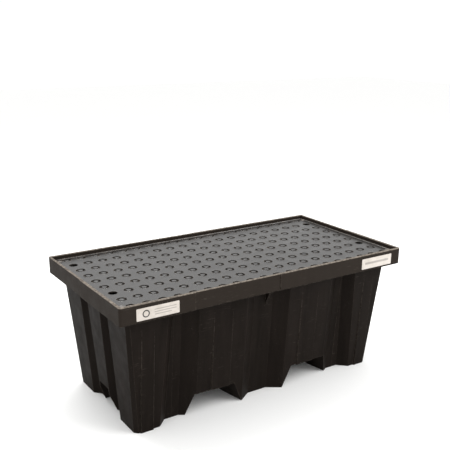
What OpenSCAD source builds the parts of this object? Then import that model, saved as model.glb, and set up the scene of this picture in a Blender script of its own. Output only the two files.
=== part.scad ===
// Two-drum spill containment pallet: a moulded sump tub with a lift-out deck.
// Frame: X along the long side, Y across it, Z up, origin on the ground under the centre.

/* [Tub] */
// Length over the lip
pallet_l = 1260; // [1100:1:1600]
// Width over the lip
pallet_w = 645; // [560:1:900]
// Height from the ground to the top of the rim
pallet_h = 520; // [420:1:700]
// Height of the lip band round the top
lip_h = 65; // [60:1:90]
// Thickness of the lip band
lip_t = 10; // [8:1:16]
// How far the lip steps in along its set-back stretches
lip_step = 2.5; // [0:0.5:6]
// Radius of the lip's corners
lip_r = 9; // [2:1:25]
// Wall thickness of the moulding
wall_t = 6; // [4:0.5:9]
// Distance from the lip's face to the body wall just under the lip
inset_top = 41; // [30:1:55]
// Distance from the lip's face to the body wall at the ground
inset_foot = 79; // [56:1:95]
// Chamfer on the body's upright corners
corner_cut = 13; // [6:1:24]

/* [Flutes] */
// Depth of the flutes in the long sides
flute_depth = 36; // [15:1:45]
// Depth of the flutes in the ends
end_flute_depth = 24; // [12:1:35]
// Width of each raised panel over a fork pocket
panel_w = 205; // [180:1:240]
// Run of the slope from a panel down into the outer flute
slope_run = 55; // [20:1:60]
// Run of the slope from the middle flute up to a panel
middle_slope_run = 55; // [20:1:60]
// Half width of the middle flute's floor at the ground
middle_floor = 43; // [25:1:50]
// How far the corner pillar grows towards the middle, from the ground to the lip
pillar_growth = 26; // [0:1:30]
// Width of the corner pillar's face at the ground
pillar_w = 98; // [80:1:120]
// Run of the slope beside the corner pillar
pillar_slope_run = 37; // [15:1:50]
// Height that the raised band stands off a panel at the ground; it fades out below the lip
band_rise = 6; // [2:0.5:8]
// Width of the raised band
band_w = 80; // [50:1:90]
// How far the middle panel of each end grows, from the ground to the lip
end_growth = 13; // [0:1:13]

/* [Feet and tunnels] */
// Height of the fork tunnels and the cross tunnel
tunnel_h = 90; // [80:1:110]
// Half width of the middle foot at its fork tunnels, at the ground
middle_foot = 98; // [90:1:104]
// Half width of the middle foot at the tunnel roof
middle_foot_roof = 138; // [120:1:150]
// Width of a fork tunnel's mouth at the ground
mouth_w = 243; // [200:1:260]
// Width of a fork tunnel's mouth at its roof
mouth_roof_w = 170; // [140:1:180]
// How far each side of the mouth closes in behind the wall
mouth_flare = 18; // [0:1:30]
// Depth over which the mouth closes in
flare_depth = 110; // [60:1:130]
// Width of the cross tunnel at the ground
cross_w = 108; // [80:1:120]
// Width of the cross tunnel at its roof
cross_roof_w = 76; // [60:1:100]

/* [Deck] */
// Distance from the rim down to the deck's top
deck_recess = 15; // [8:1:25]
// Thickness of the deck over its skirt
deck_t = 38; // [30:1:42]
// Thickness of the deck's plate
plate_t = 9; // [6:0.5:14]
// Thickness of the deck's skirt and ribs
rib_t = 6; // [4:0.5:8]
// Clearance round the deck
deck_gap = 3; // [1.5:0.5:6]
// Spacing of the drain cups along the pallet
cup_pitch_x = 60; // [50:1:75]
// Spacing of the drain cups across the pallet
cup_pitch_y = 71; // [55:1:80]
// Outer diameter of a drain cup
cup_d = 36; // [24:1:40]
// Depth of the ring-shaped recess in a drain cup
cup_depth = 4; // [2:0.5:6]
// Diameter of the button in the middle of a drain cup
button_d = 17; // [10:1:20]
// Diameter of a drain hole
drain_d = 7; // [5:0.5:9]
// Diameter of a lifting hole
lift_hole_d = 34; // [25:1:40]

/* [Support columns] */
// Diameter of a column
column_d = 100; // [60:1:120]
// Diameter of the foot and head of a column
column_flange_d = 126; // [70:1:134]
// Thickness of the foot and head of a column
column_flange_t = 8; // [5:1:14]
// Distance of the columns from the middle, across the pallet
column_y = 140; // [90:1:150]
// Height of the moulded ring that locates a column
ring_h = 10; // [6:1:16]
// Clearance of a column in its ring and under the deck
column_gap = 0.5; // [0.3:0.1:2]

/* [Labels] */
// Length of a label
label_l = 160; // [100:1:200]
// Height of a label
label_h = 43; // [30:1:50]
// Thickness of a label
label_t = 0.4; // [0.2:0.1:1]
// Distance from the lip's left end to the left label
label_inset = 60; // [40:1:120]
// Distance from the lip's right end to the right label
label_inset_right = 50; // [40:1:120]
// Distance from the lip's lower edge up to a label
label_rise = 7; // [2:1:20]

/* [Hidden] */
$fn = 48;
eps = 0.01;

half_l = pallet_l / 2;
half_w = pallet_w / 2;
body_h = pallet_h - lip_h;
deck_z = pallet_h - deck_recess;
ledge_z = deck_z - deck_t;
ledge_t = wall_t + 2;

// Panel, band and pillar places along the long sides
panel_in = middle_floor + middle_slope_run;
panel_mid = panel_in + panel_w / 2;
panel_out = panel_in + panel_w;
band_slope = 4;
pillar_band_in = 148;
pillar_band_out = 100;
band_high = 0.9 * body_h;
// Places along the ends, at the ground, out from the middle: middle panel's edge and foot, the
// flute's floor and edge at the corner pillar, and the side of the block that the panel is cut from
end_panel = 41;
end_panel_foot = 57;
end_floor = 96;
end_pillar = 122;
end_block = 82;

roof_z = tunnel_h + wall_t;
tunnel_x = (middle_foot_roof + middle_foot_roof + mouth_roof_w) / 2;
cup_cols = 2 * floor((half_l - lip_t - deck_gap - rib_t - cup_d / 2) / cup_pitch_x + 0.5);
cup_rows = 2 * floor((half_w - lip_t - deck_gap - rib_t - cup_d / 2) / cup_pitch_y) + 1;
// Rows whose end cups are open lifting holes, counted from the back
lift_rows = [1, 6];
// Set-back stretches of the lip
front_step = [-346, 17];
end_step = [3, half_w + 10];
// Left edges of the two labels
label_x = [label_inset - half_l, half_l - label_inset_right - label_l];
// Web under the lip
web_x = 12;
web_t = 8;
web_h = 88;
web_top = 5;

// How far cutting shapes run past the body: outwards, below the ground and above the body
reach = 15;
below = 20;
above = 40;
overlap = 2;
tunnel_margin = 30;

draft = (inset_foot - inset_top) / body_h;
draft_angle = atan(draft);
growth_angle = atan(pillar_growth / body_h);
end_growth_angle = atan(end_growth / body_h);

// An upright prism with its plan in the frame of a long side: x along the side and y out of the
// body, 0 on the wall's face. It leans with the wall's draft, and by lean degrees along the side.
module on_long_side(depth, lean = 0, x = 0) {
    translate([x, inset_foot + depth - half_w, 0]) rotate([draft_angle, lean, 0])
        translate([0, 0, -below]) linear_extrude(below + body_h + above) mirror([0, 1]) children();
}

// The same on the right end, with x running from the front to the back
module on_end(depth, lean = 0) {
    translate([half_l - inset_foot - depth, 0, 0]) rotate([lean, draft_angle, 0])
        translate([0, 0, -below]) linear_extrude(below + body_h + above)
            rotate(90) mirror([0, 1]) children();
}

// A flute's plan between its edges on the wall's face, with its floor between two other places
module flute_plan(edge_a, floor_a, floor_b, edge_b, deep) {
    slope_a = (edge_a - floor_a) / deep;
    slope_b = (edge_b - floor_b) / deep;
    polygon([[floor_a, -deep], [edge_a + slope_a * reach, reach],
             [edge_b + slope_b * reach, reach], [floor_b, -deep]]);
}

// All flutes, for the body's face moved in by depth
module flutes(depth) {
    pillar = half_l - inset_foot - pillar_w;
    floor_end = pillar - pillar_slope_run;
    lean_back = pillar_slope_run + pillar_growth + 3 * overlap;
    for (back = [0, 1]) mirror([0, back, 0]) {
        on_long_side(depth) flute_plan(-panel_in, -middle_floor, middle_floor, panel_in, flute_depth);
        for (left = [0, 1]) mirror([left, 0, 0]) {
            on_long_side(depth)
                flute_plan(panel_out, panel_out + slope_run, floor_end - pillar_growth - overlap,
                           pillar - pillar_growth - overlap, flute_depth);
            on_long_side(depth, -growth_angle, pillar)
                flute_plan(-lean_back, -lean_back, -pillar_slope_run, 0, flute_depth);
        }
    }
    for (left = [0, 1]) mirror([left, 0, 0]) difference() {
        on_end(depth) flute_plan(-end_pillar, -end_floor, end_floor, end_pillar, end_flute_depth);
        middle_panel(depth);
    }
}

// What an end's flute leaves standing: a block between two cheeks that lean apart with the height
module middle_panel(depth) {
    slope = (end_panel_foot - end_panel) / end_flute_depth;
    deep = end_flute_depth + overlap;
    high = reach + overlap;
    difference() {
        on_end(depth) translate([-end_block, -deep]) square([2 * end_block, deep + high]);
        for (side = [-1, 1]) on_end(depth, -side * end_growth_angle)
            polygon([[side * (end_panel - slope * (high + 1)), high + 1],
                     [side * (end_panel + slope * (deep + 1)), -deep - 1],
                     [side * (end_block + 2 * reach), -deep - 1], [side * (end_block + 2 * reach), high + 1]]);
    }
}

// Cuts off the body's upright corners
module corner_cuts(depth) {
    lean = atan(draft * sqrt(2));
    across = corner_cut * sqrt(2) / 2;
    for (x = [0, 1], y = [0, 1]) mirror([x, 0, 0]) mirror([0, y, 0])
        translate([half_l - inset_foot - depth, half_w - inset_foot - depth, 0])
            rotate(45) rotate([0, lean, 0]) translate([-across, -2 * corner_cut, -below])
                cube([2 * corner_cut, 4 * corner_cut, below + body_h + above]);
}

// The fluted body from height low to the ledge, moved in by depth
module body(low, depth) {
    x_foot = half_l - inset_foot - depth;
    y_foot = half_w - inset_foot - depth;
    out = draft * (ledge_z - low);
    first = draft * low;
    difference() {
        intersection() {
            translate([0, half_w, 0]) rotate([90, 0, 0]) linear_extrude(pallet_w)
                polygon([[-x_foot - first, low], [x_foot + first, low],
                         [x_foot + first + out, ledge_z], [-x_foot - first - out, ledge_z]]);
            translate([-half_l, 0, 0]) rotate([90, 0, 90]) linear_extrude(pallet_l)
                polygon([[-y_foot - first, low], [y_foot + first, low],
                         [y_foot + first + out, ledge_z], [-y_foot - first - out, ledge_z]]);
        }
        flutes(depth);
        corner_cuts(depth);
    }
}

// Low raised bands on the panels over the fork tunnels and on the corner pillars. Their faces are
// steeper than the wall and sink into it below the lip.
module bands() {
    lean = atan(draft - band_rise / band_high);
    for (back = [0, 1], left = [0, 1]) mirror([0, back, 0]) mirror([left, 0, 0]) intersection() {
        translate([0, inset_foot - half_w - draft * band_high, band_high]) rotate([lean, 0, 0])
            translate([0, 0, -band_high - below]) linear_extrude(band_high + below + above)
                mirror([0, 1]) {
                    band_plan(panel_mid - band_w / 2, panel_mid + band_w / 2);
                    band_plan(half_l - pillar_band_in, half_l - pillar_band_out);
                }
        translate([0, -half_w, 0]) cube([half_l, half_w, body_h]);
    }
}

module band_plan(low, high) {
    polygon([[low - band_slope, -band_rise - 1], [low, 0], [high, 0], [high + band_slope, -band_rise - 1]]);
}

// Plan of a trapezoid tunnel, from its sides at the ground to its sides at the roof
module tunnel_plan(low_a, low_b, roof_a, roof_b, grow) {
    slope_a = (roof_a - low_a) / tunnel_h;
    slope_b = (roof_b - low_b) / tunnel_h;
    polygon([[low_a - slope_a - grow, -1], [low_b - slope_b + grow, -1],
             [roof_b + slope_b * grow + grow, tunnel_h + grow],
             [roof_a + slope_a * grow - grow, tunnel_h + grow]]);
}

// One side of the right-hand fork tunnel, with x into the tunnel from the mouth's edge on the ground
module cheek(run, grow) {
    wall = half_w - inset_foot;
    end = half_w + overlap;
    mouth = -mouth_flare * (end - wall) / flare_depth;
    rotate([0, atan(run / tunnel_h), 0]) translate([-grow, 0, -below])
        linear_extrude(below + tunnel_h + above)
            polygon([[-middle_foot, -end], [mouth, -end], [mouth_flare, flare_depth - wall],
                     [mouth_flare, wall - flare_depth], [mouth, end], [-middle_foot, end]]);
}

// The right-hand fork tunnel, with mouths that open outwards on both sides
module fork_tunnel(grow) {
    far = middle_foot + mouth_w;
    far_roof = middle_foot_roof + mouth_roof_w;
    difference() {
        translate([middle_foot - tunnel_margin, -half_w - 1, -1])
            cube([mouth_w + 2 * tunnel_margin, pallet_w + 2, tunnel_h + grow + 1]);
        translate([middle_foot, 0, 0]) cheek(middle_foot_roof - middle_foot, grow);
        translate([far, 0, 0]) mirror([1, 0, 0]) cheek(far - far_roof, grow);
    }
}

module tunnels(grow) {
    for (side = [0, 1]) mirror([side, 0, 0]) {
        fork_tunnel(grow);
        translate([tunnel_x, 0, 0]) rotate([90, 0, 90]) linear_extrude(half_l - tunnel_x + 1)
            tunnel_plan(-cross_w / 2, cross_w / 2, -cross_roof_w / 2, cross_roof_w / 2, grow);
    }
}

module rounded_plate(l, w, r, h) {
    for (x = [-1, 1], y = [-1, 1])
        translate([x * (l / 2 - r), y * (w / 2 - r), 0]) cylinder(r = r, h = h);
    translate([-l / 2, r - w / 2, 0]) cube([l, w - 2 * r, h]);
    translate([r - l / 2, -w / 2, 0]) cube([l - 2 * r, w, h]);
}

module lip_set_backs(h) {
    for (back = [0, 1]) mirror([0, back, 0])
        translate([front_step[0], -half_w - 1, -1])
            cube([front_step[1] - front_step[0], lip_step + 1, h + 2]);
    for (right = [0, 1]) mirror([right, 0, 0])
        translate([-half_l - 1, end_step[0], -1])
            cube([lip_step + 1, end_step[1] - end_step[0], h + 2]);
}

module lip() {
    translate([0, 0, body_h]) difference() {
        rounded_plate(pallet_l, pallet_w, lip_r, lip_h);
        lip_set_backs(lip_h);
        translate([lip_t - half_l, lip_t - half_w, -1])
            cube([pallet_l - 2 * lip_t, pallet_w - 2 * lip_t, lip_h + 2]);
        label_seats();
    }
}

// Shallow seats for the labels, in the lip's own heights
module label_seats() {
    for (x = label_x) translate([x, -half_w - eps, label_rise]) cube([label_l, label_t + eps, label_h]);
}

module ledge() {
    translate([lip_t - half_l - 1, lip_t - half_w - 1, ledge_z - ledge_t])
        cube([pallet_l - 2 * lip_t + 2, pallet_w - 2 * lip_t + 2, ledge_t]);
}

// Web under the lip in each middle flute
module gussets() {
    foot = draft * web_h;
    for (back = [0, 1]) mirror([0, back, 0])
        translate([web_x - web_t / 2, inset_top + flute_depth + overlap - half_w, body_h])
            rotate([90, 0, 90]) linear_extrude(web_t)
                polygon([[0, web_top], [-flute_depth, web_top], [-flute_depth, 0],
                         [foot - 1, -web_h], [foot + 1, -web_h]]);
}

module column_places() {
    for (x = [-1, 1], y = [-1, 1]) translate([x * tunnel_x, y * column_y, roof_z]) children();
}

module sump_tub() {
    color([0.15, 0.14, 0.13]) {
        difference() {
            union() {
                body(0, 0);
                bands();
                ledge();
            }
            difference() {
                body(wall_t, wall_t);
                tunnels(wall_t);
            }
            tunnels(0);
        }
        lip();
        gussets();
        column_places() difference() {
            translate([0, 0, -1]) cylinder(d = column_flange_d + 2 * (wall_t + column_gap), h = ring_h + 1);
            translate([0, 0, -2]) cylinder(d = column_flange_d + 2 * column_gap, h = ring_h + 3);
        }
    }
}

module cup_places() {
    for (col = [0 : cup_cols - 1], row = [0 : cup_rows - 1])
        let (end_col = col == 0 || col == cup_cols - 1,
             lifting = end_col && len(search(row, lift_rows)) > 0)
        translate([(col - (cup_cols - 1) / 2) * cup_pitch_x,
                   ((cup_rows - 1) / 2 - row) * cup_pitch_y, 0]) {
            if (lifting) children(1);
            else children(0);
        }
}

module cup() {
    ring_mid = (cup_d + button_d) / 4;
    translate([0, 0, -cup_depth]) difference() {
        cylinder(d = cup_d, h = cup_depth + 1, $fn = 32);
        translate([0, 0, -1]) cylinder(d = button_d, h = cup_depth + 3, $fn = 24);
    }
    for (side = [-1, 1]) translate([0, side * ring_mid, -plate_t - 1])
        cylinder(d = drain_d, h = plate_t + 1, $fn = 16);
}

module deck() {
    deck_l = pallet_l - 2 * (lip_t + deck_gap);
    deck_w = pallet_w - 2 * (lip_t + deck_gap);
    color([0.23, 0.22, 0.21]) translate([0, 0, deck_z]) {
        difference() {
            translate([0, 0, -plate_t]) rounded_plate(deck_l, deck_w, lip_r, plate_t);
            cup_places() {
                cup();
                translate([0, 0, -plate_t - 1]) cylinder(d = lift_hole_d, h = plate_t + 2);
            }
        }
        translate([0, 0, -deck_t]) difference() {
            rounded_plate(deck_l, deck_w, lip_r, deck_t - plate_t + eps);
            translate([rib_t - deck_l / 2, rib_t - deck_w / 2, -1])
                cube([deck_l - 2 * rib_t, deck_w - 2 * rib_t, deck_t]);
        }
        for (i = [2 - cup_cols / 2 : 2 : cup_cols / 2 - 2])
            translate([i * cup_pitch_x - rib_t / 2, 1 - deck_w / 2, -deck_t])
                cube([rib_t, deck_w - 2, deck_t - plate_t + eps]);
        for (j = [-cup_rows / 2 + 1 : 1 : cup_rows / 2 - 1])
            translate([1 - deck_l / 2, j * cup_pitch_y - rib_t / 2, -deck_t])
                cube([deck_l - 2, rib_t, deck_t - plate_t + eps]);
    }
}

// One label in its shallow seat on the front of the lip
module label(i) {
    color([0.88, 0.87, 0.84]) translate([label_x[i], -half_w, body_h + label_rise])
        cube([label_l, label_t, label_h]);
}

// A closed hollow column that stands on a tunnel roof and carries the deck
module support_column(i) {
    x = i % 2 == 0 ? -1 : 1;
    y = i < 2 ? -1 : 1;
    h = ledge_z - roof_z - column_gap;
    color([0.3, 0.3, 0.3]) translate([x * tunnel_x, y * column_y, roof_z]) difference() {
        union() {
            cylinder(d = column_flange_d, h = column_flange_t);
            cylinder(d = column_d, h = h);
            translate([0, 0, h - column_flange_t]) cylinder(d = column_flange_d, h = column_flange_t);
        }
        translate([0, 0, wall_t]) cylinder(d = column_d - 2 * wall_t, h = h - 2 * wall_t);
    }
}

sump_tub();
deck();
label(0);  // label_left
label(1);  // label_right
for (i = [0 : 3]) support_column(i);
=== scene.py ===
"""Two-drum spill containment pallet: moulded sump tub, lift-out deck, labels and support columns.

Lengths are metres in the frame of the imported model: X along the pallet, Y from the labelled front
to the back, Z up from the ground. The CAD sizes come from the frame, and the rest are fields here.
"""

import logging
import math
from collections.abc import Callable, Iterator
from contextlib import contextmanager
from dataclasses import dataclass
from enum import Enum

import bpy
from mathutils import Matrix, Vector

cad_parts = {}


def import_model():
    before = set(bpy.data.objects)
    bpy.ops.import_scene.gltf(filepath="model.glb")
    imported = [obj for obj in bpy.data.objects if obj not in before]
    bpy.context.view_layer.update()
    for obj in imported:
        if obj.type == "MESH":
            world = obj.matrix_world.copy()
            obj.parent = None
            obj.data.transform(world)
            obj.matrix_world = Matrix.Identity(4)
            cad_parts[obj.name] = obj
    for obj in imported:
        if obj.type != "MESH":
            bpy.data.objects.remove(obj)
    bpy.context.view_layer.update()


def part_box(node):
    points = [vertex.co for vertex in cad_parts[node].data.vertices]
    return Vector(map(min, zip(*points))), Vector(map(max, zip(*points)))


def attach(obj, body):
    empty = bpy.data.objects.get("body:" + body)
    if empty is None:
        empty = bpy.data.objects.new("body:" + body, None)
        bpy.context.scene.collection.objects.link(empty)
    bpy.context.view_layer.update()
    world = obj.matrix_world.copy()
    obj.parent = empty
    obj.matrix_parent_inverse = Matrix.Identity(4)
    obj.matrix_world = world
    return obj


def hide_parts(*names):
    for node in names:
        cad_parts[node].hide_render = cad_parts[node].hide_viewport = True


LOG = logging.getLogger("spill_pallet")
MM = 0.001
# Corners of a CAD mesh that are nearer than this are one corner, and its faces that turn by less are one.
MERGE = 0.01 * MM
FLAT = math.radians(0.3)
# How far apart modelled corners may be and still count as level, as one, and as near.
LEVEL = 0.01 * MM
WELD = 0.02 * MM
NEAR = 0.05 * MM
# A height in metres that nothing reaches.
NOWHERE = 9.0

Colour = tuple[float, float, float, float]


class Body(Enum):
    """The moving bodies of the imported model."""

    TUB = "tub"
    DECK = "deck"


class Slot(Enum):
    """Names of the material slots."""

    TUB = "tub_plastic"
    DECK = "deck_plastic"
    LABEL = "label_stock"
    COLUMN = "column_plastic"


class Side(Enum):
    """The two ends of the front lip that carry a label."""

    LEFT = "left"
    RIGHT = "right"


# ---------------------------------------------------------------------------- finishes


def linear(code: str) -> Colour:
    """Turns an sRGB hex colour into linear values.

    Args:
        code: Six hex digits, such as "2b2724".

    Returns:
        Linear red, green, blue and an alpha of 1.
    """
    parts = [int(code[i : i + 2], 16) / 255 for i in (0, 2, 4)]
    low = [c / 12.92 if c <= 0.04045 else ((c + 0.055) / 1.055) ** 2.4 for c in parts]
    return (low[0], low[1], low[2], 1.0)


def add_node(tree: bpy.types.NodeTree, kind: str, inputs: dict | None = None, **settings) -> bpy.types.Node:
    """Adds a node, sets it and joins its inputs.

    Args:
        tree: The node tree that gets the node.
        kind: The node's type without its "ShaderNode" prefix.
        inputs: Values or output sockets, by the name or number of the input socket.
        settings: The node's own properties.

    Returns:
        The new node.
    """
    node = tree.nodes.new("ShaderNode" + kind)
    for key, value in settings.items():
        setattr(node, key, value)
    for key, value in (inputs or {}).items():
        if isinstance(value, bpy.types.NodeSocket):
            tree.links.new(value, node.inputs[key])
        else:
            node.inputs[key].default_value = value
    return node


def new_material(name: str) -> tuple[bpy.types.Material, bpy.types.NodeTree]:
    """Makes an empty node material.

    Args:
        name: The material's name.

    Returns:
        The material and its node tree, with no nodes in it.
    """
    material = bpy.data.materials.new(name)
    material.use_nodes = True
    material.node_tree.nodes.clear()
    return material, material.node_tree


def per_metre(size_mm: float) -> float:
    """A pattern's scale from the size of one of its features in millimetres."""
    return 1 / (size_mm * MM)


@dataclass(frozen=True)
class MouldedPolyethylene:
    """Polyethylene coloured with carbon black, as it leaves a steel or aluminium mould.

    It is a satin near-black with a fine pebbled skin, slow waves where the wall shrank, faint flow
    marks that run down the draft, paler edges that are partly rubbed wear and partly painted highlight,
    scuffs from forks and drums, dust that settles on whatever faces up, a paler tone painted above a
    given height as painted light, for the top light that falls there, pale crowns at the very top as
    painted highlight, and painted shade, darker and less glossy, on whatever lies below the surface
    that drains.
    """

    name: str
    colour: str
    flow_colour: str
    wear_and_highlight_colour: str
    dust_and_light_colour: str
    roughness: float
    wear_and_highlight_roughness: float
    specular: float = 0.5
    ior: float = 1.54
    roughness_swing: float = 0.06
    grain_mm: float = 1.6
    grain_depth_mm: float = 0.05
    wave_mm: float = 38.0
    wave_depth_mm: float = 0.5
    flow_mm: float = 42.0
    flow_stretch: float = 0.07
    scuff_mm: float = 2.2
    scuff_length: float = 0.06
    scuff_share: float = 0.42
    scuffed_area_mm: float = 120.0
    nick_mm: float = 9.0
    edge_mm: float = 3.0
    edge_share: float = 0.6
    dust_mm: float = 14.0
    dust_share: float = 0.4
    # Painted light: above this height the tone is painted paler, for the top light that falls on the lip.
    painted_light_from: float = NOWHERE
    painted_light_share: float = 0.5
    # Painted highlight: above this height the crowns are painted pale, in broken patches.
    painted_highlight_from: float = NOWHERE
    painted_highlight_share: float = 0.75
    # Painted shade: below this height the colour is painted darker and the specular turned down, for the
    # shade in the cups and slots.
    painted_shade_below: float = -NOWHERE
    painted_shade_colour: str = "0a0807"
    painted_shade_sheen: float = 0.1

    def material(self) -> bpy.types.Material:
        """Builds the node material.

        Returns:
            The finished material.
        """
        material, tree = new_material(self.name)
        place = add_node(tree, "TexCoord").outputs["Object"]
        normal = self._skin(tree, place)
        # Paler edges and crowns: partly real wear, partly painted highlight.
        wear_and_highlight_mask = self._wear_and_highlight(tree, place)
        dust = self._dust(tree, place)
        flow = self._flow(tree, place)
        height = add_node(tree, "SeparateXYZ", {0: place}).outputs["Z"]
        # Painted light: a paler tone painted above a given height, standing for the top light on the lip.
        painted_light = add_node(tree, "MapRange", {"Value": height, "From Min": self.painted_light_from,
                                            "From Max": self.painted_light_from + 2 * MM,
                                            "To Max": self.painted_light_share}).outputs[0]
        # Painted shade: a darker colour below the drained surface, standing for the shade in the cups and
        # slots.
        painted_shade = add_node(tree, "MapRange", {"Value": height, "From Min": self.painted_shade_below,
                                              "From Max": self.painted_shade_below - 1 * MM}).outputs[0]
        colour = linear(self.colour)
        for mask, tint in ((flow, self.flow_colour), (painted_light, self.dust_and_light_colour),
                           (painted_shade, self.painted_shade_colour), (wear_and_highlight_mask, self.wear_and_highlight_colour),
                           (dust, self.dust_and_light_colour)):
            colour = add_node(tree, "Mix", {0: mask, 6: colour, 7: linear(tint)},
                              data_type="RGBA").outputs[2]
        polish = add_node(tree, "MapRange", {"Value": wear_and_highlight_mask, "To Min": self.roughness,
                                             "To Max": self.wear_and_highlight_roughness})
        cloud = add_node(tree, "TexNoise", {"Vector": place, "Scale": per_metre(self.wave_mm), "Detail": 4.0})
        swing = add_node(tree, "MapRange", {"Value": cloud.outputs["Fac"], "From Min": 0.3, "From Max": 0.7,
                                            "To Min": -self.roughness_swing,
                                            "To Max": self.roughness_swing})
        rough = add_node(tree, "Math", {0: polish.outputs[0], 1: swing.outputs[0]}, operation="ADD")
        # The painted shade also turns the specular down below the drained surface.
        sheen = add_node(tree, "MapRange", {"Value": painted_shade, "To Min": self.specular,
                                            "To Max": self.painted_shade_sheen * self.specular}).outputs[0]
        shader = add_node(tree, "BsdfPrincipled", {"Base Color": colour, "Roughness": rough.outputs[0],
                                                   "Specular IOR Level": sheen, "IOR": self.ior,
                                                   "Normal": normal})
        add_node(tree, "OutputMaterial", {"Surface": shader.outputs[0]})
        return material

    def _skin(self, tree: bpy.types.NodeTree, place: bpy.types.NodeSocket) -> bpy.types.NodeSocket:
        """The mould's pebbled grain on top of the slow shrinkage waves.

        Args:
            tree: The material's node tree.
            place: Object coordinates.

        Returns:
            The bumped normal.
        """
        wave = add_node(tree, "TexNoise", {"Vector": place, "Scale": per_metre(self.wave_mm), "Detail": 1.0})
        grain = add_node(tree, "TexNoise", {"Vector": place, "Scale": per_metre(self.grain_mm), "Detail": 3.0,
                                             "Roughness": 0.6})
        slow = add_node(tree, "Bump", {"Height": wave.outputs["Fac"], "Strength": 1.0,
                                       "Distance": self.wave_depth_mm * MM})
        fine = add_node(tree, "Bump", {"Height": grain.outputs["Fac"], "Strength": 1.0,
                                       "Distance": self.grain_depth_mm * MM, "Normal": slow.outputs[0]})
        return fine.outputs[0]

    def _flow(self, tree: bpy.types.NodeTree, place: bpy.types.NodeSocket) -> bpy.types.NodeSocket:
        """Cloudy streaks of slightly paler plastic that run down the walls.

        Args:
            tree: The material's node tree.
            place: Object coordinates.

        Returns:
            The streaks' mask.
        """
        drawn = add_node(tree, "Mapping", {"Vector": place, "Scale": (1.0, 1.0, self.flow_stretch)})
        cloud = add_node(tree, "TexNoise", {"Vector": drawn.outputs[0], "Scale": per_metre(self.flow_mm),
                                             "Detail": 5.0, "Roughness": 0.62, "Distortion": 0.4})
        return add_node(tree, "MapRange", {"Value": cloud.outputs["Fac"], "From Min": 0.36,
                                           "From Max": 0.72}).outputs[0]

    def _wear_and_highlight(self, tree: bpy.types.NodeTree, place: bpy.types.NodeSocket) -> bpy.types.NodeSocket:
        """Paler edges and crowns, partly rubbed wear and partly painted highlight, and scuffs in two
        directions.

        Args:
            tree: The material's node tree.
            place: Object coordinates.

        Returns:
            The mask of the worn places and of the painted highlight.
        """
        # Paler rounded edges: partly rubbed wear, partly painted highlight along the edges.
        rounded = add_node(tree, "Bevel", {"Radius": self.edge_mm * MM}, samples=6)
        flat = add_node(tree, "NewGeometry").outputs["Normal"]
        turned = add_node(tree, "VectorMath", {0: rounded.outputs[0], 1: flat}, operation="DOT_PRODUCT")
        edge = add_node(tree, "MapRange", {"Value": turned.outputs["Value"], "From Min": 0.995,
                                           "From Max": 0.86, "To Max": self.edge_share})
        nicks = add_node(tree, "TexNoise", {"Vector": place, "Scale": per_metre(self.nick_mm), "Detail": 4.0})
        broken = add_node(tree, "MapRange", {"Value": nicks.outputs["Fac"], "From Min": 0.35,
                                             "From Max": 0.62})
        wear_and_highlight = add_node(tree, "Math", {0: edge.outputs[0], 1: broken.outputs[0]}, operation="MULTIPLY")
        # Painted highlight: pale broken crowns along the very top.
        height = add_node(tree, "SeparateXYZ", {0: place}).outputs["Z"]
        crown = add_node(tree, "MapRange", {"Value": height, "From Min": self.painted_highlight_from,
                                            "From Max": self.painted_highlight_from + 0.8 * MM})
        crown_highlight = add_node(tree, "MapRange", {"Value": nicks.outputs["Fac"], "From Min": 0.2, "From Max": 0.6,
                                           "To Max": self.painted_highlight_share})
        top = add_node(tree, "Math", {0: crown.outputs[0], 1: crown_highlight.outputs[0]}, operation="MULTIPLY")
        wear_and_highlight = add_node(tree, "Math", {0: wear_and_highlight.outputs[0], 1: top.outputs[0]}, operation="MAXIMUM")
        for turn in (0.12, 1.45):
            laid = add_node(tree, "Mapping", {"Vector": place, "Rotation": (turn, 0.4 * turn, turn),
                                              "Scale": (self.scuff_length, 1.0, 1.0)})
            line = add_node(tree, "TexNoise", {"Vector": laid.outputs[0], "Scale": per_metre(self.scuff_mm),
                                               "Detail": 2.0})
            thin = add_node(tree, "MapRange", {"Value": line.outputs["Fac"], "From Min": 0.66,
                                               "From Max": 0.76, "To Max": self.scuff_share})
            patch = add_node(tree, "TexNoise", {"Vector": place, "Scale": per_metre(self.scuffed_area_mm),
                                                "Detail": 2.0, "W": turn}, noise_dimensions="4D")
            where = add_node(tree, "MapRange", {"Value": patch.outputs["Fac"], "From Min": 0.5,
                                                "From Max": 0.68})
            scuff = add_node(tree, "Math", {0: thin.outputs[0], 1: where.outputs[0]}, operation="MULTIPLY")
            wear_and_highlight = add_node(tree, "Math", {0: wear_and_highlight.outputs[0], 1: scuff.outputs[0]}, operation="MAXIMUM")
        return wear_and_highlight.outputs[0]

    def _dust(self, tree: bpy.types.NodeTree, place: bpy.types.NodeSocket) -> bpy.types.NodeSocket:
        """Dust in patches, on faces that look up.

        Args:
            tree: The material's node tree.
            place: Object coordinates.

        Returns:
            The dust's mask.
        """
        normal = add_node(tree, "NewGeometry").outputs["Normal"]
        up = add_node(tree, "SeparateXYZ", {0: normal}).outputs["Z"]
        level = add_node(tree, "MapRange", {"Value": up, "From Min": 0.6, "From Max": 0.98,
                                            "To Max": self.dust_share})
        cloud = add_node(tree, "TexNoise", {"Vector": place, "Scale": per_metre(self.dust_mm), "Detail": 6.0,
                                             "Roughness": 0.7})
        patches = add_node(tree, "MapRange", {"Value": cloud.outputs["Fac"], "From Min": 0.4,
                                              "From Max": 0.72})
        return add_node(tree, "Math", {0: level.outputs[0], 1: patches.outputs[0]},
                        operation="MULTIPLY").outputs[0]


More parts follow.
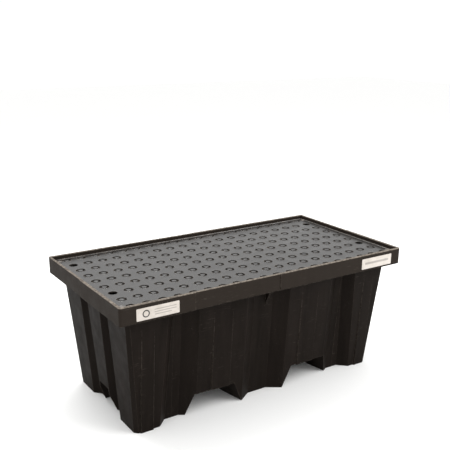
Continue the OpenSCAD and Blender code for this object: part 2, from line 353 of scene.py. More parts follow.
@dataclass(frozen=True)
class PrintedVinyl:
    """Self-adhesive vinyl label, screen printed and laminated: off-white and smooth, a little yellowed
    and rubbed, with grey bars, and on one label a plain ring, where a label's print would be."""

    name: str
    centre: Vector
    length: float
    height: float
    with_ring: bool
    stock: str = "c2bab2"
    aged: str = "b3aba1"
    print_colour: str = "5f5a55"
    ring_colour: str = "24201e"
    roughness: float = 0.32
    stain_mm: float = 22.0
    fibre_mm: float = 6.0
    crease_depth_mm: float = 0.12
    ink_share: float = 0.55

    def material(self) -> bpy.types.Material:
        """Builds the node material.

        Returns:
            The finished material.
        """
        material, tree = new_material(self.name)
        place = add_node(tree, "TexCoord").outputs["Object"]
        centred = add_node(tree, "Mapping", {"Vector": place, "Location": tuple(-self.centre)})
        axes = add_node(tree, "SeparateXYZ", {0: centred.outputs[0]})
        across, up = axes.outputs["X"], axes.outputs["Z"]
        stain = add_node(tree, "TexNoise", {"Vector": place, "Scale": per_metre(self.stain_mm),
                                            "Detail": 6.0})
        aged = add_node(tree, "MapRange", {"Value": stain.outputs["Fac"], "From Min": 0.4, "From Max": 0.75})
        colour = linear(self.stock)
        for mask, tint in ((aged.outputs[0], self.aged), *self._prints(tree, across, up)):
            colour = add_node(tree, "Mix", {0: mask, 6: colour, 7: linear(tint)},
                              data_type="RGBA").outputs[2]
        fibre = add_node(tree, "TexNoise", {"Vector": place, "Scale": per_metre(self.fibre_mm),
                                            "Detail": 3.0})
        creased = add_node(tree, "Bump", {"Height": fibre.outputs["Fac"], "Strength": 0.6,
                                          "Distance": self.crease_depth_mm * MM})
        rough = add_node(tree, "MapRange", {"Value": stain.outputs["Fac"], "To Min": self.roughness - 0.08,
                                            "To Max": self.roughness + 0.12})
        shader = add_node(tree, "BsdfPrincipled", {"Base Color": colour, "Roughness": rough.outputs[0],
                                                   "IOR": 1.5, "Coat Weight": 0.25, "Coat Roughness": 0.12,
                                                   "Normal": creased.outputs[0]})
        add_node(tree, "OutputMaterial", {"Surface": shader.outputs[0]})
        return material

    def _prints(self, tree: bpy.types.NodeTree, across: bpy.types.NodeSocket,
                up: bpy.types.NodeSocket) -> list[tuple[bpy.types.NodeSocket, str]]:
        """The printed shapes.

        Args:
            tree: The material's node tree.
            across: Distance from the label's middle, along it.
            up: Distance from the label's middle, up it.

        Returns:
            A mask and its ink for each shape.
        """
        bars, thick = [(0.0, 0.02, 0.4)], 0.11
        if self.with_ring:
            bars, thick = [(0.17, 0.2, 0.26), (0.17, 0.0, 0.26), (0.12, -0.2, 0.2)], 0.045
        shapes = [(self._bar(tree, across, up, x, z, half, thick), self.print_colour) for x, z, half in bars]
        if self.with_ring:
            shapes.append((self._ring(tree, across, up), self.ring_colour))
        return shapes

    def _bar(self, tree: bpy.types.NodeTree, across: bpy.types.NodeSocket, up: bpy.types.NodeSocket,
             x: float, z: float, half: float, thick: float) -> bpy.types.NodeSocket:
        """A soft-edged, broken grey bar.

        Args:
            tree: The material's node tree.
            across: Distance from the label's middle, along it.
            up: Distance from the label's middle, up it.
            x: The bar's middle, as a share of the label's length.
            z: The bar's middle, as a share of the label's height.
            half: Half its length, as a share of the label's length.
            thick: Half its thickness, as a share of the label's height.

        Returns:
            The bar's mask.
        """
        masks = []
        for socket, middle, reach in ((across, x * self.length, half * self.length),
                                      (up, z * self.height, thick * self.height)):
            off = add_node(tree, "Math", {0: socket, 1: middle}, operation="SUBTRACT")
            size = add_node(tree, "Math", {0: off.outputs[0]}, operation="ABSOLUTE")
            masks.append(add_node(tree, "MapRange", {"Value": size.outputs[0], "From Min": reach,
                                                     "From Max": reach - 0.6 * MM}).outputs[0])
        whole = add_node(tree, "Math", {0: masks[0], 1: masks[1]}, operation="MULTIPLY")
        return add_node(tree, "Math", {0: whole.outputs[0], 1: self.ink_share},
                        operation="MULTIPLY").outputs[0]

    def _ring(self, tree: bpy.types.NodeTree, across: bpy.types.NodeSocket,
              up: bpy.types.NodeSocket) -> bpy.types.NodeSocket:
        """A plain dark ring near the label's left end.

        Args:
            tree: The material's node tree.
            across: Distance from the label's middle, along it.
            up: Distance from the label's middle, up it.

        Returns:
            The ring's mask.
        """
        radius = 0.26 * self.height
        off = add_node(tree, "Math", {0: across, 1: -0.28 * self.length}, operation="SUBTRACT")
        flat = add_node(tree, "CombineXYZ", {0: off.outputs[0], 1: up})
        reach = add_node(tree, "VectorMath", {0: flat.outputs[0]}, operation="LENGTH")
        from_line = add_node(tree, "Math", {0: reach.outputs["Value"], 1: radius}, operation="SUBTRACT")
        size = add_node(tree, "Math", {0: from_line.outputs[0]}, operation="ABSOLUTE")
        return add_node(tree, "MapRange", {"Value": size.outputs[0], "From Min": 2.4 * MM,
                                           "From Max": 1.8 * MM}).outputs[0]


@dataclass(frozen=True)
class PaleFloor:
    """Painted studio floor: matt, nearly white, with a trace of roller texture."""

    colour: str = "fbfbfa"
    roller_mm: float = 4.0
    roller_depth_mm: float = 0.2
    roughness: float = 0.85

    def material(self) -> bpy.types.Material:
        """Builds the node material.

        Returns:
            The finished material.
        """
        material, tree = new_material("studio_floor")
        place = add_node(tree, "TexCoord").outputs["Object"]
        roller = add_node(tree, "TexNoise", {"Vector": place, "Scale": per_metre(self.roller_mm),
                                             "Detail": 2.0})
        bump = add_node(tree, "Bump", {"Height": roller.outputs["Fac"], "Strength": 0.3,
                                       "Distance": self.roller_depth_mm * MM})
        shader = add_node(tree, "BsdfPrincipled", {"Base Color": linear(self.colour),
                                                   "Roughness": self.roughness,
                                                   "Specular IOR Level": 0.1, "Normal": bump.outputs[0]})
        add_node(tree, "OutputMaterial", {"Surface": shader.outputs[0]})
        return material


# On the tub, the lip is painted paler as painted light, and the rim's crown and edges are painted pale as
# painted highlight.
TUB_FINISH = MouldedPolyethylene("black_polyethylene_tub", "15110e", "1d1815", "8f857a", "332d28",
                                 roughness=0.55, wear_and_highlight_roughness=0.42, specular=0.03, scuff_share=0.2,
                                 edge_share=0.26, painted_light_from=456 * MM, painted_highlight_from=517.5 * MM)
# On the deck, the crowns of the border and bosses and the edges are painted pale as painted highlight, and
# the cups and slots below the surface are painted darker as painted shade.
DECK_FINISH = MouldedPolyethylene("black_polyethylene_deck", "100e0c", "181512", "857c73", "38322c",
                                  roughness=0.3, wear_and_highlight_roughness=0.24, specular=0.58, grain_mm=2.2,
                                  grain_depth_mm=0.06, flow_stretch=1.0, scuff_share=0.3, edge_share=0.9,
                                  dust_share=0.3, painted_highlight_from=505.9 * MM, painted_shade_below=504.2 * MM)
COLUMN_FINISH = MouldedPolyethylene("grey_polyethylene_column", "4a4a49", "565655", "6f6e6b", "6b6965",
                                    roughness=0.5, wear_and_highlight_roughness=0.4, dust_share=0.25)


# ---------------------------------------------------------------------------- modelling


def deselect_all() -> None:
    """Leaves nothing selected, in object mode."""
    if bpy.context.mode != "OBJECT":
        bpy.ops.object.mode_set(mode="OBJECT")
    bpy.ops.object.select_all(action="DESELECT")


def make_active(piece: bpy.types.Object) -> None:
    """Selects one object alone and makes it active."""
    deselect_all()
    piece.select_set(True)
    bpy.context.view_layer.objects.active = piece


@contextmanager
def editing(piece: bpy.types.Object, mode: str = "VERT") -> Iterator[None]:
    """Edit mode on one object.

    Args:
        piece: The object.
        mode: What is selected: "VERT", "EDGE" or "FACE".

    Yields:
        Nothing; the block runs in edit mode.
    """
    make_active(piece)
    bpy.ops.object.mode_set(mode="EDIT")
    bpy.ops.mesh.select_mode(type=mode)
    yield
    bpy.ops.object.mode_set(mode="OBJECT")


def select_vertices(piece: bpy.types.Object, test: Callable[[Vector], bool]) -> None:
    """In edit mode, selects just the vertices whose place passes a test.

    Args:
        piece: The object in edit mode.
        test: Says of a place whether it is selected.
    """
    bpy.ops.object.mode_set(mode="OBJECT")
    chosen = [test(v.co) for v in piece.data.vertices]
    piece.data.vertices.foreach_set("select", chosen)
    points = piece.data.vertices
    for edge in piece.data.edges:
        edge.select = all(points[i].select for i in edge.vertices)
    for face in piece.data.polygons:
        face.select = all(points[i].select for i in face.vertices)
    bpy.ops.object.mode_set(mode="EDIT")


def select_faces(piece: bpy.types.Object, test: Callable[[Vector, Vector], bool]) -> None:
    """In edit mode, selects just the faces whose middle and normal pass a test.

    Args:
        piece: The object in edit mode, with faces as its select mode.
        test: Says of a face's middle and normal whether it is selected.
    """
    bpy.ops.object.mode_set(mode="OBJECT")
    for item in (*piece.data.vertices, *piece.data.edges):
        item.select = False
    for face in piece.data.polygons:
        face.select = test(face.center, face.normal)
    bpy.ops.object.mode_set(mode="EDIT")


def apply_modifier(piece: bpy.types.Object, kind: str, **settings) -> None:
    """Adds a modifier, sets it and applies it.

    Args:
        piece: The object.
        kind: The modifier's type.
        settings: The modifier's own properties.
    """
    make_active(piece)
    bpy.ops.object.modifier_add(type=kind)
    modifier = piece.modifiers[-1]
    for key, value in settings.items():
        setattr(modifier, key, value)
    bpy.ops.object.modifier_apply(modifier=modifier.name)


def shade(piece: bpy.types.Object, degrees: float = 35.0) -> None:
    """Smooths the shading of edges that turn by less than an angle."""
    make_active(piece)
    bpy.ops.object.shade_smooth_by_angle(angle=math.radians(degrees))


def shade_moulding(piece: bpy.types.Object) -> None:
    """Smooths the shading of a moulding's rounded edges and keeps its broad faces flat."""
    shade(piece, 40)
    apply_modifier(piece, "WEIGHTED_NORMAL", keep_sharp=True, weight=80)


def settle(piece: bpy.types.Object, name: str) -> bpy.types.Object:
    """Moves the object's place into its mesh and names it.

    Args:
        piece: The object.
        name: Its name.

    Returns:
        The object.
    """
    make_active(piece)
    bpy.ops.object.transform_apply(location=True, rotation=True, scale=True)
    piece.name = name
    piece.data.name = name
    return piece


def join(pieces: list[bpy.types.Object]) -> bpy.types.Object:
    """Joins objects into the first of them.

    Args:
        pieces: The objects.

    Returns:
        The first object, which holds all the meshes.
    """
    make_active(pieces[0])
    for piece in pieces:
        piece.select_set(True)
    bpy.ops.object.join()
    return pieces[0]


def own_copy(piece: bpy.types.Object) -> bpy.types.Object:
    """A copy of an object with its own mesh."""
    twin = piece.copy()
    twin.data = piece.data.copy()
    bpy.context.scene.collection.objects.link(twin)
    return twin


def copy_of_node(node: str, name: str) -> bpy.types.Object:
    """A merged, whole-faced copy of a CAD node's mesh.

    Args:
        node: The CAD node.
        name: The copy's name.

    Returns:
        The copy, free of the frame.
    """
    piece = own_copy(bpy.data.objects[node])
    piece.parent = None
    piece.name = name
    piece.data.name = name
    piece.data.materials.clear()
    for key in list(piece.keys()):
        del piece[key]
    make_active(piece)
    bpy.ops.mesh.customdata_custom_splitnormals_clear()
    with editing(piece):
        bpy.ops.mesh.select_all(action="SELECT")
        bpy.ops.mesh.remove_doubles(threshold=MERGE)
        bpy.ops.mesh.dissolve_limited(angle_limit=FLAT)
    return piece


def dress(piece: bpy.types.Object, material: bpy.types.Material, body: Body, slot: Slot,
          *nodes: str) -> None:
    """Gives a finished piece its material, its body, its slot and the CAD nodes that it stands for.

    Args:
        piece: The finished piece.
        material: Its material.
        body: The body that it rides on.
        slot: Not used.
        nodes: The CAD nodes that it stands for.
    """
    piece.data.materials.clear()
    piece.data.materials.append(material)
    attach(piece, body.value)
    if nodes:
        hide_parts(*nodes)
    LOG.info("%s: %d faces on %s", piece.name, len(piece.data.polygons), body.value)


# ---------------------------------------------------------------------------- sub-assemblies


@dataclass
class SumpTub:
    """The moulded tub: fluted walls on feet, tunnels for forks, and the lip round the top."""

    rim_radius: float = 3.0 * MM
    lip_radius: float = 1.8 * MM
    flute_radius: float = 9.0 * MM
    foot_radius: float = 3.0 * MM
    inner_radius: float = 1.5 * MM
    lip_height: float = 65 * MM
    lip_outside: tuple[float, float] = (600 * MM, 300 * MM)
    flute_length: float = 150 * MM
    sharp: float = math.radians(11)

    @property
    def widest(self) -> float:
        """The largest radius, which every edge's bevel weight is a share of."""
        return max(self.flute_radius, self.rim_radius)

    def build(self) -> None:
        """Makes the tub from its CAD node and dresses it."""
        low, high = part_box("sump_tub")
        piece = copy_of_node("sump_tub", "moulded_tub")
        self._part_lip_face(piece, low)
        self._weigh_edges(piece, high)
        apply_modifier(piece, "BEVEL", limit_method="WEIGHT", width=self.widest, segments=3,
                       offset_type="OFFSET", use_clamp_overlap=True, miter_outer="MITER_ARC")
        shade_moulding(piece)
        dress(piece, TUB_FINISH.material(), Body.TUB, Slot.TUB, "sump_tub")

    def _part_lip_face(self, piece: bpy.types.Object, low: Vector) -> None:
        """Cuts the lip's front face upwards at both ends of each label's seat, so no face has a hole.

        Args:
            piece: The tub.
            low: Its lowest corner.
        """
        with editing(piece, "FACE"):
            for node in (f"label_{side.value}" for side in Side):
                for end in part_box(node):
                    select_faces(piece, lambda c, n: n.y < -0.99 and abs(c.y - low.y) < 1 * MM)
                    bpy.ops.mesh.bisect(plane_co=(end.x, 0, 0), plane_no=(1, 0, 0))

    def _weigh_edges(self, piece: bpy.types.Object, high: Vector) -> None:
        """Gives each sharp edge the weight of its own radius.

        Args:
            piece: The tub.
            high: Its highest corner.
        """
        mesh = piece.data
        sides: dict[tuple[int, int], list[int]] = {}
        for face in mesh.polygons:
            for key in face.edge_keys:
                sides.setdefault(key, []).append(face.index)
        weights = mesh.attributes.new("bevel_weight_edge", "FLOAT", "EDGE")
        for edge in mesh.edges:
            faces = sides.get(tuple(sorted(edge.vertices)), [])
            if len(faces) != 2:
                continue
            a, b = (mesh.polygons[i] for i in faces)
            if a.normal.angle(b.normal, 0.0) < self.sharp:
                continue
            ends = [mesh.vertices[i].co for i in edge.vertices]
            weights.data[edge.index].value = self._radius(ends, a, b, high) / self.widest

    def _radius(self, ends: list[Vector], a: bpy.types.MeshPolygon, b: bpy.types.MeshPolygon,
                high: Vector) -> float:
        """The moulded radius of one edge.

        Args:
            ends: The edge's two ends.
            a: The face on one side.
            b: The face on the other side.
            high: The tub's highest corner.

        Returns:
            The radius.
        """
        middle = (ends[0] + ends[1]) / 2
        lip_foot = high.z - self.lip_height
        if middle.z > high.z - 0.5 * MM:
            return self.rim_radius
        if middle.z > lip_foot - 0.5 * MM:
            outside = abs(middle.x) > self.lip_outside[0] or abs(middle.y) > self.lip_outside[1]
            return self.lip_radius if outside else self.inner_radius
        outward = a.normal.dot(Vector((middle.x, middle.y, 0))) > 0 or abs(a.normal.z) > 0.9
        steep = abs((ends[1] - ends[0]).normalized().z) > 0.7
        long = (ends[1] - ends[0]).length > self.flute_length
        if outward and steep and long:
            return self.flute_radius
        return self.foot_radius if outward else self.inner_radius


@dataclass
class DrainCup:
    """One cell of the deck: a ring-shaped drain cup with its button and two curved slots."""

    pitch: tuple[float, float] = (60 * MM, 71 * MM)
    steps: int = 24
    rim_r: float = 19.5 * MM
    outer_r: float = 17.6 * MM
    inner_r: float = 9.2 * MM
    depth: float = 4.0 * MM
    bead: float = 0.7 * MM
    slot_half: int = 2
    hole_r: float = 16.5 * MM
    hole_wall: float = 5.0 * MM

    def cell(self) -> bpy.types.Object:
        """Models the cell round the origin, with the deck's top at height 0.

        Returns:
            The cell.
        """
        piece = self._square()
        outer, inner = self.outer_r, self.inner_r
        rings = [(self.rim_r, 0.0), (self.rim_r - 0.9 * MM, self.bead), (outer + 0.5 * MM, self.bead),
                 (outer, 0.1 * MM), (outer - 0.7 * MM, -self.depth + 0.6 * MM),
                 (outer - 1.5 * MM, -self.depth), (inner + 0.8 * MM, -self.depth),
                 (inner, -0.5 * MM), (inner - 0.8 * MM, 0.2 * MM), (inner - 3.0 * MM, 0.5 * MM)]
        self._turn_down(piece, rings)
        with editing(piece, "FACE"):
            slot = math.sin(math.pi * self.slot_half / self.steps) * 2 + 0.02
            select_faces(piece, lambda c, n: n.z > 0.99 and abs(c.z + self.depth) < NEAR
                         and abs(c.x) < abs(c.y) * slot)
            bpy.ops.mesh.delete(type="FACE")
        return piece

    def lifting_cell(self) -> bpy.types.Object:
        """Models the cell that has a plain lifting hole.

        Returns:
            The cell.
        """
        piece = self._square()
        hole = self.hole_r
        rings = [(self.rim_r, 0.0), (hole + 1.6 * MM, 0.5 * MM), (hole + 0.4 * MM, 0.3 * MM),
                 (hole, -0.4 * MM), (hole, -self.hole_wall)]
        self._turn_down(piece, rings, closed=False)
        return piece

    def _square(self) -> bpy.types.Object:
        """The cell's outline, with as many corners as a ring has."""
        deselect_all()
        bpy.ops.mesh.primitive_plane_add(size=1)
        piece = bpy.context.active_object
        with editing(piece, "EDGE"):
            bpy.ops.mesh.select_all(action="SELECT")
            bpy.ops.mesh.delete(type="ONLY_FACE")
            bpy.ops.mesh.select_all(action="SELECT")
            bpy.ops.mesh.subdivide(number_cuts=self.steps // 4 - 1)
            bpy.ops.transform.resize(value=(*self.pitch, 1), center_override=(0, 0, 0))
        return piece

    def _turn_down(self, piece: bpy.types.Object, rings: list[tuple[float, float]],
                   closed: bool = True) -> None:
        """Joins the outline to the first ring and draws the profile inwards from it.

        Args:
            piece: The cell's outline.
            rings: Radius and height of each ring, from the outermost.
            closed: Whether the last ring is filled.
        """
        with editing(piece):
            bpy.ops.mesh.primitive_circle_add(vertices=self.steps, radius=rings[0][0],
                                              rotation=(0, 0, math.radians(45)))
            bpy.ops.mesh.select_mode(type="EDGE")
            bpy.ops.mesh.select_all(action="SELECT")
            bpy.ops.mesh.bridge_edge_loops()
            bpy.ops.mesh.select_mode(type="VERT")
            for (r0, z0), (r1, z1) in zip(rings, rings[1:]):
                select_vertices(piece, lambda p: p.xy.length < r0 + NEAR and abs(p.z - z0) < LEVEL)
                bpy.ops.mesh.extrude_edges_move()
                bpy.ops.transform.resize(value=(r1 / r0, r1 / r0, 1), center_override=(0, 0, 0))
                bpy.ops.transform.translate(value=(0, 0, z1 - z0))
            if closed:
                bpy.ops.mesh.select_mode(type="EDGE")
                bpy.ops.mesh.edge_face_add()


@dataclass
class LiftOutDeck:
    """The deck: a plate of drain cups with a raised border, a skirt and ribs underneath."""

    columns: int = 20
    rows: int = 9
    lifting_rows: tuple[int, int] = (1, 6)
    skin: float = 5.0 * MM
    border: float = 5.5 * MM
    border_rise: float = 1.6 * MM
    boss_place: Vector = Vector((600 * MM, 277 * MM, 0))
    boss_r: float = 10.0 * MM
    boss_rise: float = 2.4 * MM
    boss_root: float = 2.0 * MM
    boss_taper: float = 0.86
    boss_edge: float = 0.5 * MM
    rib: float = 6.0 * MM
    rib_taper: float = 0.72
    rib_edge: float = 0.9 * MM

    def build(self) -> None:
        """Makes the deck, its corner bosses and its ribs, and dresses them."""
        low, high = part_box("deck")
        material = DECK_FINISH.material()
        deck = self._plate(low, high)
        dress(deck, material, Body.DECK, Slot.DECK, "deck")
        ribs = self._ribs(low, high)
        dress(ribs, material, Body.DECK, Slot.DECK)
        for index, (x, y) in enumerate(((-1, -1), (1, -1), (-1, 1), (1, 1)), start=1):
            boss = self._boss(Vector((x * self.boss_place.x, y * self.boss_place.y, high.z)), index)
            dress(boss, material, Body.DECK, Slot.DECK)

    def _plate(self, low: Vector, high: Vector) -> bpy.types.Object:
        """The cells, the border and the skirt as one shell.

        Args:
            low: The CAD deck's lowest corner.
            high: The CAD deck's highest corner.

        Returns:
            The shell.
        """
        cup = DrainCup()
        pitch_x, pitch_y = cup.pitch
        span_x, span_y = (self.columns - 1) * pitch_x / 2, (self.rows - 1) * pitch_y / 2
        field = cup.cell()
        field.location = (-span_x, span_y, 0)
        settle(field, "moulded_deck")
        apply_modifier(field, "ARRAY", count=self.columns, use_relative_offset=False,
                       use_constant_offset=True, constant_offset_displace=(pitch_x, 0, 0),
                       use_merge_vertices=True, merge_threshold=WELD)
        apply_modifier(field, "ARRAY", count=self.rows, use_relative_offset=False,
                       use_constant_offset=True, constant_offset_displace=(0, -pitch_y, 0),
                       use_merge_vertices=True, merge_threshold=WELD)
        places = [Vector((x, span_y - row * pitch_y, 0)) for x in (-span_x, span_x)
                  for row in self.lifting_rows]
        with editing(field, "FACE"):
            select_faces(field, lambda c, n: any(abs(c.x - p.x) < pitch_x / 2
                                                 and abs(c.y - p.y) < pitch_y / 2 for p in places))
            bpy.ops.mesh.delete(type="FACE")
        cells = []
        for place in places:
            cell = cup.lifting_cell()
            cell.location = place
            cells.append(settle(cell, "cell"))
        field = join([field, *cells])
        half = Vector(((high.x - low.x) / 2, (high.y - low.y) / 2))
        self._trim(field, half)
        self._edge(field, half, high.z - low.z)
        self._drill_walls(field)
        field.location = (0, 0, high.z)
        settle(field, "moulded_deck")
        shade_moulding(field)
        return field

    def _trim(self, field: bpy.types.Object, half: Vector) -> None:
        """Cuts the cells off where the border starts, and fills out the two ends.

        Args:
            field: The cells.
            half: Half the deck's length and width.
        """
        inner = half - Vector((self.border, self.border))
        with editing(field):
            bpy.ops.mesh.select_all(action="SELECT")
            bpy.ops.mesh.remove_doubles(threshold=WELD)
            for axis in (Vector((0, 1, 0)), Vector((0, -1, 0))):
                bpy.ops.mesh.select_all(action="SELECT")
                bpy.ops.mesh.bisect(plane_co=axis * inner.y, plane_no=axis, clear_outer=True)
            edge_x = self.columns * DrainCup().pitch[0] / 2
            for side in (-1, 1):
                select_vertices(field, lambda p: abs(p.x - side * edge_x) < NEAR)
                bpy.ops.mesh.extrude_edges_move()
                bpy.ops.transform.translate(value=(side * (inner.x - edge_x), 0, 0))

    def _edge(self, field: bpy.types.Object, half: Vector, height: float) -> None:
        """Draws the raised border out of the plate's outline, and the skirt down from it.

        Args:
            field: The trimmed plate.
            half: Half the deck's length and width.
            height: The deck's height with its skirt.
        """
        inner = half - Vector((self.border, self.border))
        rise = self.border_rise
        steps = [(1.2 * MM, rise), (self.border - 2.0 * MM, rise), (self.border - 0.6 * MM, rise - 0.6 * MM),
                 (self.border, rise - 2.0 * MM), (self.border, self.skin - height)]
        now = Vector((0.0, 0.0))
        with editing(field):
            for out, z in steps:
                select_vertices(field, lambda p: abs(p.z - now.y) < LEVEL and (
                    abs(abs(p.x) - inner.x - now.x) < WELD or abs(abs(p.y) - inner.y - now.x) < WELD))
                size = Vector(((inner.x + out) / (inner.x + now.x), (inner.y + out) / (inner.y + now.x), 1))
                bpy.ops.mesh.extrude_edges_move()
                bpy.ops.transform.resize(value=tuple(size), center_override=(0, 0, 0))
                bpy.ops.transform.translate(value=(0, 0, z - now.y))
                now = Vector((out, z))

    def _drill_walls(self, field: bpy.types.Object) -> None:
        """Gives the sheet its thickness, which makes walls in every slot and hole.

        Args:
            field: The whole sheet.
        """
        with editing(field):
            bpy.ops.mesh.select_all(action="SELECT")
            bpy.ops.mesh.remove_doubles(threshold=WELD)
            bpy.ops.mesh.normals_make_consistent(inside=False)
        apply_modifier(field, "SOLIDIFY", thickness=self.skin, offset=-1.0, use_even_offset=False)

    def _ribs(self, low: Vector, high: Vector) -> bpy.types.Object:
        """The grid of drafted ribs under the plate.

        Args:
            low: The CAD deck's lowest corner.
            high: The CAD deck's highest corner.

        Returns:
            The ribs.
        """
        pitch_x, pitch_y = DrainCup().pitch
        top, foot = high.z - self.skin + 0.4 * MM, low.z + 0.5 * MM
        inner = Vector((high.x - self.skin, high.y - self.skin))
        ribs = []
        for i in range(2 - self.columns // 2, self.columns // 2, 2):
            ribs.append(self._rib(Vector((i * pitch_x, 0)), Vector((self.rib, 2 * inner.y)), foot, top))
        for j in range(self.rows - 1):
            y = (j + 1 - self.rows / 2) * pitch_y
            ribs.append(self._rib(Vector((0, y)), Vector((2 * inner.x, self.rib)), foot + 0.3 * MM, top))
        return settle(join(ribs), "deck_ribs")

    def _rib(self, middle: Vector, size: Vector, foot: float, top: float) -> bpy.types.Object:
        """One rib, thinner at its foot.

        Args:
            middle: Its middle, seen from above.
            size: Its length and thickness, as sizes along X and Y.
            foot: The height of its lower edge.
            top: The height of its upper edge.

        Returns:
            The rib.
        """
        deselect_all()
        bpy.ops.mesh.primitive_cube_add(size=1, location=(middle.x, middle.y, (foot + top) / 2),
                                        scale=(size.x, size.y, top - foot))
        piece = settle(bpy.context.active_object, "rib")
        thin = (self.rib_taper, 1, 1) if size.x < size.y else (1, self.rib_taper, 1)
        with editing(piece):
            select_vertices(piece, lambda p: p.z < (foot + top) / 2)
            bpy.ops.transform.resize(value=thin, center_override=(middle.x, middle.y, foot))
        apply_modifier(piece, "BEVEL", width=self.rib_edge, segments=2, limit_method="ANGLE")
        shade(piece)
        return piece

    def _boss(self, place: Vector, number: int) -> bpy.types.Object:
        """A low round boss near a corner of the deck.

        Args:
            place: The boss's middle, on the deck's top.
            number: Its number, for its name.

        Returns:
            The boss.
        """
        deselect_all()
        middle = place + Vector((0, 0, (self.boss_rise - self.boss_root) / 2))
        bpy.ops.mesh.primitive_cylinder_add(vertices=32, radius=self.boss_r, location=middle,
                                            depth=self.boss_rise + self.boss_root)
        piece = settle(bpy.context.active_object, f"deck_boss_{number}")
        with editing(piece, "FACE"):
            select_faces(piece, lambda c, n: n.z > 0.9)
            bpy.ops.transform.resize(value=(self.boss_taper, self.boss_taper, 1),
                                     center_override=tuple(place))
            bpy.ops.mesh.inset(thickness=2.4 * MM, depth=0)
            bpy.ops.mesh.inset(thickness=0.8 * MM, depth=-0.8 * MM)
        apply_modifier(piece, "BEVEL", width=self.boss_edge, segments=2, limit_method="ANGLE")
        shade(piece)
        return piece


@dataclass
class Label:
    """One label in its seat on the front of the lip."""

    side: Side
    corner_r: float = 3.0 * MM
    edge: float = 0.1 * MM

    def build(self) -> None:
        """Makes the label and dresses it."""
        node = f"label_{self.side.value}"
        low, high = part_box(node)
        middle, size = (low + high) / 2, high - low
        deselect_all()
        bpy.ops.mesh.primitive_cube_add(size=1, location=middle, scale=size)
        piece = settle(bpy.context.active_object, f"printed_{node}")
        with editing(piece, "EDGE"):
            bpy.ops.object.mode_set(mode="OBJECT")
            for item in (*piece.data.vertices, *piece.data.polygons):
                item.select = False
            for edge in piece.data.edges:
                ends = [piece.data.vertices[i].co for i in edge.vertices]
                edge.select = abs((ends[1] - ends[0]).normalized().y) > 0.9
            bpy.ops.object.mode_set(mode="EDIT")
            bpy.ops.mesh.bevel(offset=self.corner_r, segments=6, affect="EDGES")
        apply_modifier(piece, "BEVEL", width=self.edge, segments=2, limit_method="ANGLE")
        shade(piece)
        finish = PrintedVinyl(f"label_vinyl_{self.side.value}", middle, size.x, size.z,
                              with_ring=self.side is Side.LEFT)
        dress(piece, finish.material(), Body.TUB, Slot.LABEL, node)


@dataclass
class SupportColumns:
    """The four columns that carry the deck from the tunnel roofs."""

    count: int = 4
    edge: float = 2.0 * MM

    def build(self) -> None:
        """Makes the columns from their CAD nodes and dresses them."""
        material = COLUMN_FINISH.material()
        for number in range(1, self.count + 1):
            node = f"support_column_{number}"
            piece = copy_of_node(node, f"moulded_column_{number}")
            apply_modifier(piece, "BEVEL", width=self.edge, segments=3, limit_method="ANGLE",
                           angle_limit=math.radians(30), use_clamp_overlap=True)
            shade(piece)
            dress(piece, material, Body.TUB, Slot.COLUMN, node)


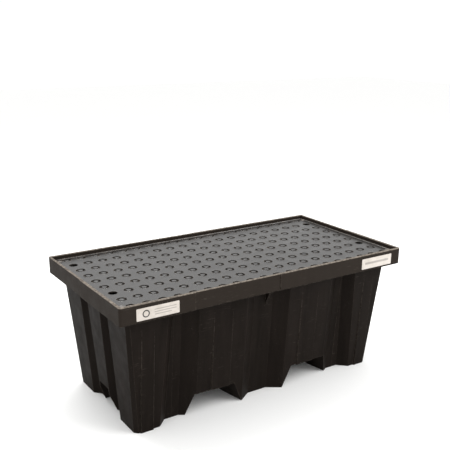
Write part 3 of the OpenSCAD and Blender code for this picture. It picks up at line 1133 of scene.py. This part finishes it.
@dataclass
class Studio:
    """Floor, backdrop, lights and camera."""

    eye: Vector = Vector((-1.5198, -2.2981, 1.3809))
    yaw: float = 0.5904
    pitch: float = 0.3000
    roll: float = 0.0103
    lens: float = 57.80
    shift: tuple[float, float] = (-0.0182, 0.0558)
    sensor_mm: float = 36.0
    floor_reach: float = 14.0
    room_strength: float = 1.03

    def build(self) -> None:
        """Makes the floor, the lights and the camera."""
        self._floor()
        self._world()
        self._lamp("key_softbox", place=(2.6, -2.9, 2.9), target=(0.1, -0.1, 0.3), size=(3.0, 3.0),
                   power=120)
        self._lamp("top_softbox", place=(-0.2, 1.6, 3.4), target=(0.0, 0.0, 0.4), size=(3.0, 2.0), power=90)
        self._lamp("left_fill", place=(-3.2, -1.0, 1.8), target=(0.0, 0.0, 0.3), size=(1.4, 1.8), power=8)
        self._camera()

    def _floor(self) -> None:
        """The pale floor."""
        deselect_all()
        bpy.ops.mesh.primitive_plane_add(size=2 * self.floor_reach)
        floor = settle(bpy.context.active_object, "studio_floor")
        floor.data.materials.append(PaleFloor().material())

    def _world(self) -> None:
        """The plain pale room."""
        world = bpy.data.worlds.new("studio_room")
        world.use_nodes = True
        world.node_tree.nodes.clear()
        room = add_node(world.node_tree, "Background", {"Color": (1, 1, 1, 1),
                                                        "Strength": self.room_strength})
        add_node(world.node_tree, "OutputWorld", {"Surface": room.outputs[0]})
        bpy.context.scene.world = world

    def _lamp(self, name: str, place: tuple[float, float, float], target: tuple[float, float, float],
              size: tuple[float, float], power: float) -> None:
        """Adds a soft rectangular lamp.

        Args:
            name: The lamp's name.
            place: Where it stands.
            target: What it points at.
            size: Its width and height.
            power: Its power in watts.
        """
        deselect_all()
        bpy.ops.object.light_add(type="AREA", location=place)
        lamp = bpy.context.active_object
        lamp.name = name
        lamp.rotation_euler = (Vector(target) - Vector(place)).to_track_quat("-Z", "Y").to_euler()
        lamp.data.shape = "RECTANGLE"
        lamp.data.size, lamp.data.size_y = size
        lamp.data.energy = power

    def _camera(self) -> None:
        """The camera, from its heading, its tilt and its roll."""
        turn, tilt = self.yaw, self.pitch
        ahead = Vector((math.sin(turn) * math.cos(tilt), math.cos(turn) * math.cos(tilt), -math.sin(tilt)))
        right = Vector((math.cos(turn), -math.sin(turn), 0))
        up = right.cross(ahead)
        side = right * math.cos(self.roll) + up * math.sin(self.roll)
        over = up * math.cos(self.roll) - right * math.sin(self.roll)
        data = bpy.data.cameras.new("studio_camera")
        camera = bpy.data.objects.new("studio_camera", data)
        bpy.context.scene.collection.objects.link(camera)
        axes = Matrix((side, over, -ahead)).transposed().to_4x4()
        camera.matrix_world = Matrix.Translation(self.eye) @ axes
        data.lens = self.lens
        data.sensor_width = self.sensor_mm
        data.shift_x, data.shift_y = self.shift
        bpy.context.scene.camera = camera


def main() -> None:
    """Builds the pallet round its frame, then the studio."""
    logging.basicConfig(level=logging.INFO, format="%(name)s: %(message)s")
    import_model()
    bpy.context.scene.view_settings.view_transform = "Standard"
    SumpTub().build()
    LiftOutDeck().build()
    for side in Side:
        Label(side).build()
    SupportColumns().build()
    Studio().build()
    deselect_all()


if __name__ == "__main__":
    main()
